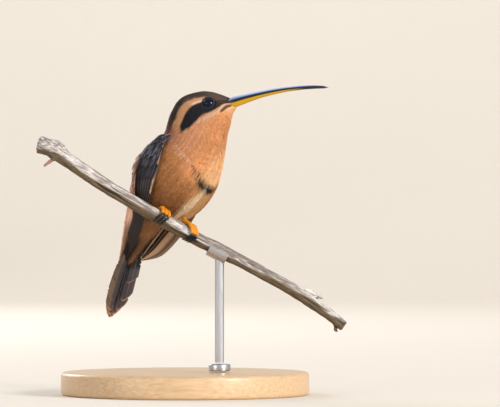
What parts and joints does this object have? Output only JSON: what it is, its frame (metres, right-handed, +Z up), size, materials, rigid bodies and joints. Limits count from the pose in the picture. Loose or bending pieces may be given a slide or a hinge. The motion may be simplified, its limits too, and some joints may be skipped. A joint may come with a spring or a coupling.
{
  "type": "hummingbird",
  "caption": "Still, life-size hermit hummingbird perched upright with folded wings and a long curved bill, on a short cut twig held by a plain round base and rod.",
  "frame": {"origin": "centre of the underside of the stand's base", "axes": "+Z up; the perch runs along X and slopes down towards +X; the bird's bill points along +X and its breast towards +X and -Y, with the tail on the +Y side of the perch"},
  "size_m": [0.0672, 0.054, 0.0672],
  "materials": {
    "plumage_cinnamon": "soft cinnamon plumage, matte, darker above",
    "plumage_dark": "blackish flight feathers with a dull violet and olive sheen",
    "tail_dark": "dark slate feathers with buff edges",
    "bill_black": "satin black horn",
    "bill_yellow": "satin yellow horn, black towards the tip",
    "eye_black": "wet gloss black",
    "foot_orange": "matte orange skin with scutes",
    "claw_black": "satin black horn",
    "dry_wood": "weathered grey bark, rough",
    "stand_wood": "pale wood, satin",
    "stand_steel": "brushed"
  },
  "bodies": {
    "root": {"head": "plumage_cinnamon", "neck": "plumage_cinnamon", "breast": "plumage_cinnamon", "belly": "plumage_cinnamon", "tail_coverts": "plumage_cinnamon", "eye_right": "eye_black", "eye_left": "eye_black", "bill_upper": "bill_black", "bill_lower": "bill_yellow", "wing_coverts_right": "plumage_dark", "wing_coverts_left": "plumage_dark", "wing_primaries_right": "plumage_dark", "wing_primaries_left": "plumage_dark", "tail_middle": "tail_dark", "tail_right": "tail_dark", "tail_left": "tail_dark", "foot_right": "foot_orange", "foot_left": "foot_orange", "claw_right_1": "claw_black", "claw_right_2": "claw_black", "claw_right_3": "claw_black", "claw_right_4": "claw_black", "claw_left_1": "claw_black", "claw_left_2": "claw_black", "claw_left_3": "claw_black", "claw_left_4": "claw_black", "perch_branch": "dry_wood", "stand_base": "stand_wood", "stand_ferrule": "stand_steel", "stand_rod": "stand_steel"}
  },
  "joints": []
}
